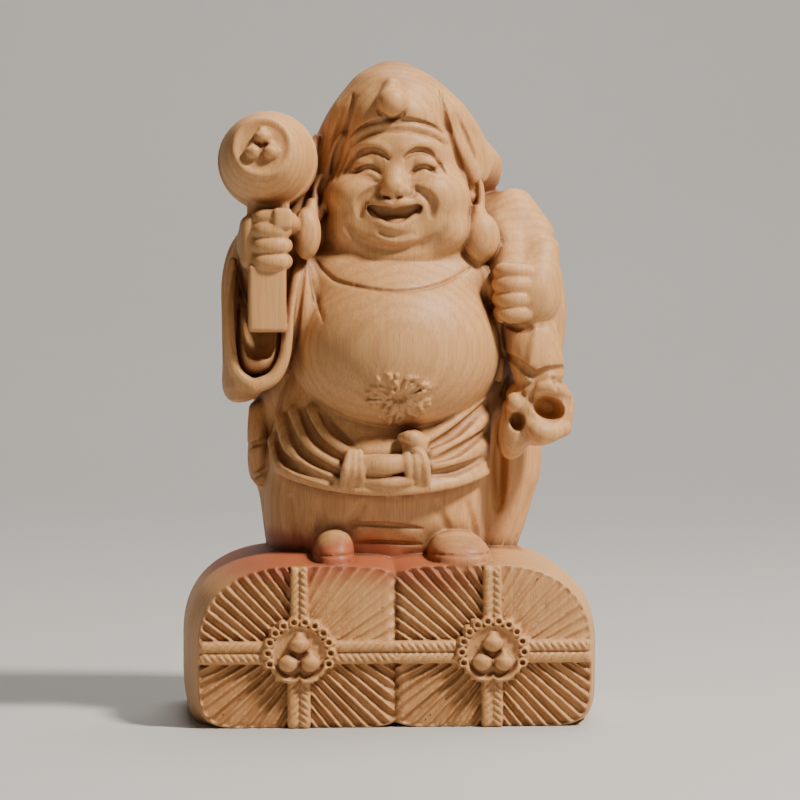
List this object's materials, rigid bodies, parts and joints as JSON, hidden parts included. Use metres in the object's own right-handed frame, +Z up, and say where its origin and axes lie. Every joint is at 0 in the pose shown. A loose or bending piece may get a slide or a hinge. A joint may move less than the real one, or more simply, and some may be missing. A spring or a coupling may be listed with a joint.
{
  "type": "daikoku figure",
  "caption": "Carved wooden figure of the laughing god of plenty, standing on rice bales with a raised mallet and a shouldered sack; a shelf ornament.",
  "frame": {"origin": "middle of the underside's bounding box, on the surface that the figure stands on", "axes": "+Z up along the figure's height, -Y the way the figure faces, +X to the viewer's right"},
  "size_m": [0.1224, 0.087, 0.1963],
  "materials": {
    "wood": "bare pale-brown wood, planed and carved smooth, with fine upright grain and a soft satin sheen"
  },
  "bodies": {
    "root": {"daikoku_figure": "wood"}
  },
  "joints": []
}
